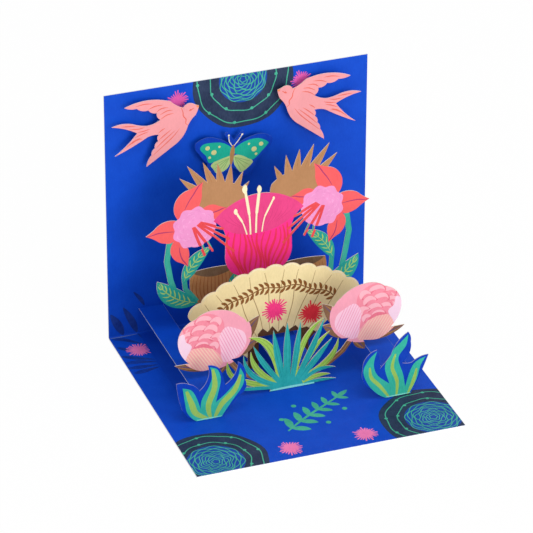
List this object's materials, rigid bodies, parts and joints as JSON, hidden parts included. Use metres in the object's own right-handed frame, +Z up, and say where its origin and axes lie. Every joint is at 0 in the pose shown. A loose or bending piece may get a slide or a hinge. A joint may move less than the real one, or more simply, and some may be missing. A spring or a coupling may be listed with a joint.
{
  "type": "pop_up_card",
  "caption": "Square pop-up card standing open at a right angle, with upright die-cut layers of tropical flowers, a scalloped fan, buds, grasses, flying birds and a butterfly",
  "frame": {"origin": "middle of the footprint, on the underside of the base panel", "axes": "+X along the main fold to the viewer's right, +Y towards the upright back panel, +Z up"},
  "size_m": [0.133, 0.133, 0.133],
  "materials": {
    "cover_board": "matte",
    "printed_liner": "satin",
    "art_sheet": "satin",
    "bird_paper": "satin",
    "strut_paper": "satin",
    "foam": "matte"
  },
  "bodies": {
    "root": {"cover": "cover_board", "liner": "printed_liner", "flower_sheet": "art_sheet", "flower_strut": "strut_paper", "fan": "art_sheet", "fan_strut": "strut_paper", "bud_spray": "art_sheet", "agave": "art_sheet", "tuft_left": "art_sheet", "tuft_right": "art_sheet", "bird_left": "bird_paper", "bird_right": "bird_paper", "butterfly": "art_sheet", "bird_pad_left": "foam", "bird_pad_right": "foam", "butterfly_pad": "foam"}
  },
  "joints": []
}
